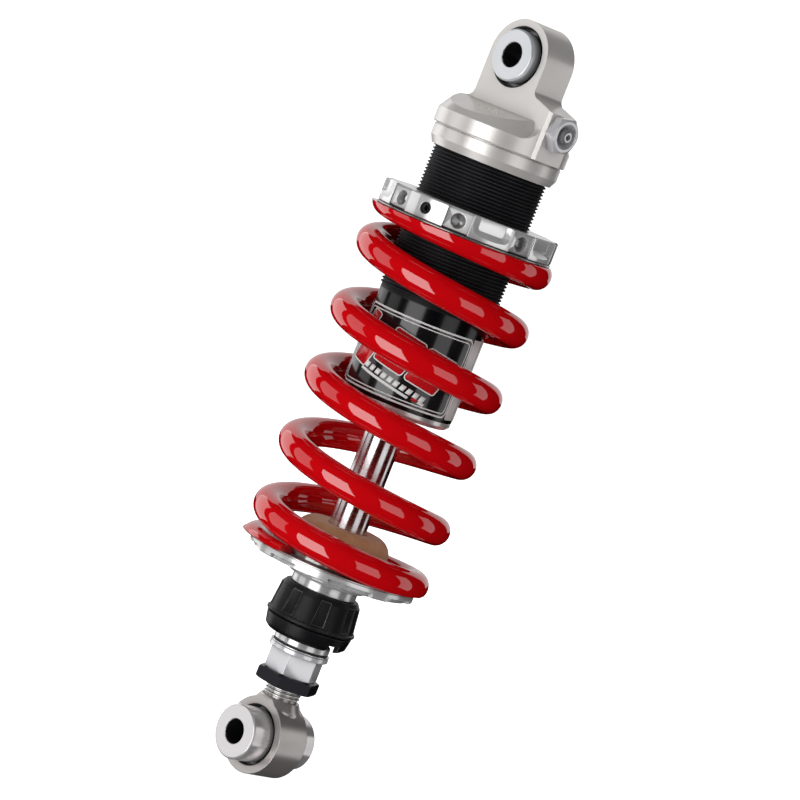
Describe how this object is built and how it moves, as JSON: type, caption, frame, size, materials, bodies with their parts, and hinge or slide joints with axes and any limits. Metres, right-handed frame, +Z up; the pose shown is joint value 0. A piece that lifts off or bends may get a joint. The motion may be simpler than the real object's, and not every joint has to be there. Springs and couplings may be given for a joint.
{
  "type": "rear shock absorber",
  "caption": "Motorcycle rear shock: threaded damper with red coil spring, preload ring, rebound knob and length adjuster between two bearing eyes.",
  "frame": {"origin": "centre of the upper eye's bolt bore", "axes": "+Z up the damper rod towards the upper eye, +Y along both bolts, +X towards the gas valve"},
  "size_m": [0.0808, 0.0808, 0.3323],
  "materials": {
    "satin_aluminium": "bead-blasted and clear anodised, satin",
    "bright_aluminium": "turned, bright",
    "black_anodised": "hard black anodised, semi-gloss",
    "black_plastic": "matte moulded",
    "polished_steel": "ground and polished",
    "hard_chrome": "hard chrome, mirror ground",
    "black_steel": "black oxide",
    "spring_red": "gloss red powder coat",
    "label_film": "printed film, gloss",
    "seal_rubber": "moulded rubber",
    "bumper_foam": "tan microcellular polyurethane",
    "bearing_bronze": "sintered bronze"
  },
  "bodies": {
    "damper_body": {"upper_head": "satin_aluminium", "upper_bearing_race": "polished_steel", "upper_bearing_clips": "black_steel", "upper_dust_seals": "seal_rubber", "gas_valve_plug": "hard_chrome", "gas_fill_screw": "polished_steel", "gas_plug_seal": "seal_rubber", "damper_tube": "black_anodised", "tube_label": "label_film", "seal_head": "bright_aluminium", "rod_bush": "bearing_bronze", "oil_seal": "seal_rubber", "dust_wiper": "seal_rubber", "seal_head_o_ring": "seal_rubber", "head_o_ring": "seal_rubber"},
    "rod": {"damper_rod": "hard_chrome", "top_out_plate": "polished_steel", "top_out_bumper": "seal_rubber", "piston": "bright_aluminium", "piston_band": "bearing_bronze", "compression_shims": "polished_steel", "rebound_shims": "polished_steel", "piston_nut": "black_steel", "spring_seat": "bright_aluminium", "seat_washer": "polished_steel", "bump_stop": "bumper_foam", "seat_collar": "bright_aluminium", "rod_end": "bright_aluminium", "adjuster_clip": "polished_steel", "click_ring": "black_plastic", "knob_retainer": "bright_aluminium", "adjuster_seal": "seal_rubber"},
    "floating_piston": {"floating_piston": "bright_aluminium", "floating_piston_o_ring": "seal_rubber"},
    "spring_perch": {"thrust_washer": "polished_steel", "coil_spring": "spring_red"},
    "preload_ring": {"preload_ring": "bright_aluminium", "ring_lock_screw": "black_steel"},
    "rebound_knob": {"rebound_knob": "black_plastic"},
    "metering_needle": {"metering_rod": "polished_steel", "metering_cross_pin": "polished_steel"},
    "length_adjuster": {"length_adjuster": "bright_aluminium"},
    "lower_eye": {"lower_eye": "satin_aluminium", "lower_bearing_race": "polished_steel", "lower_bearing_clips": "black_steel", "lower_dust_seals": "seal_rubber"},
    "jam_nut": {"jam_nut": "black_steel"},
    "upper_ball": {"upper_bearing_ball": "polished_steel"},
    "upper_spacers": {"upper_spacer_front": "bright_aluminium", "upper_spacer_rear": "bright_aluminium"},
    "lower_ball": {"lower_bearing_ball": "polished_steel"},
    "lower_spacers": {"lower_spacer_front": "bright_aluminium", "lower_spacer_rear": "bright_aluminium"}
  },
  "joints": [
    {"name": "rod_slide", "type": "slide", "parent": "damper_body", "child": "rod", "axis": [0, 0, 1], "range_m": [0, 0.052], "stiffness_N_per_m": 130000, "springref_m": -0.0045, "deforming": ["coil_spring"]},
    {"name": "gas_piston_slide", "type": "slide", "parent": "damper_body", "child": "floating_piston", "axis": [0, 0, 1], "range_m": [0, 0.00835]},
    {"name": "preload_travel", "type": "slide", "parent": "damper_body", "child": "spring_perch", "axis": [0, 0, -1], "range_m": [-0.0045, 0.01]},
    {"name": "preload_ring_turn", "type": "hinge", "parent": "spring_perch", "child": "preload_ring", "pos_m": [0, 0, -0.07], "axis": [0, 0, -1], "range_deg": [-1085, 2405]},
    {"name": "rebound_knob_turn", "type": "hinge", "parent": "rod", "child": "rebound_knob", "pos_m": [0, 0, -0.241], "axis": [0, 0, 1], "range_deg": [-455, 455]},
    {"name": "metering_travel", "type": "slide", "parent": "rod", "child": "metering_needle", "axis": [0, 0, 1], "range_m": [-0.00125, 0.00125]},
    {"name": "length_adjuster_turn", "type": "hinge", "parent": "rod", "child": "length_adjuster", "pos_m": [0, 0, -0.266], "axis": [0, 0, 1], "range_deg": [-5, 2405]},
    {"name": "lower_eye_travel", "type": "slide", "parent": "rod", "child": "lower_eye", "axis": [0, 0, -1], "range_m": [0, 0.01]},
    {"name": "jam_nut_travel", "type": "slide", "parent": "lower_eye", "child": "jam_nut", "axis": [0, 0, 1], "range_m": [-0.003, 0]},
    {"name": "upper_ball_tilt", "type": "hinge", "parent": "damper_body", "child": "upper_ball", "pos_m": [0, 0, 0], "axis": [1, 0, 0], "range_deg": [-4, 4]},
    {"name": "upper_bolt_turn", "type": "hinge", "parent": "upper_ball", "child": "upper_spacers", "pos_m": [0, 0, 0], "axis": [0, 1, 0], "continuous": true},
    {"name": "lower_ball_tilt", "type": "hinge", "parent": "lower_eye", "child": "lower_ball", "pos_m": [0, 0, -0.3], "axis": [1, 0, 0], "range_deg": [-4, 4]},
    {"name": "lower_bolt_turn", "type": "hinge", "parent": "lower_ball", "child": "lower_spacers", "pos_m": [0, 0, -0.3], "axis": [0, 1, 0], "continuous": true}
  ],
  "couplings": [
    {"joint": "gas_piston_slide", "follows": "rod_slide", "ratio": 0.16},
    {"joint": "preload_ring_turn", "follows": "preload_travel", "rad_per_m": 4188.8},
    {"joint": "rebound_knob_turn", "follows": "metering_travel", "rad_per_m": 6283.2},
    {"joint": "length_adjuster_turn", "follows": "lower_eye_travel", "rad_per_m": 4188.8}
  ]
}
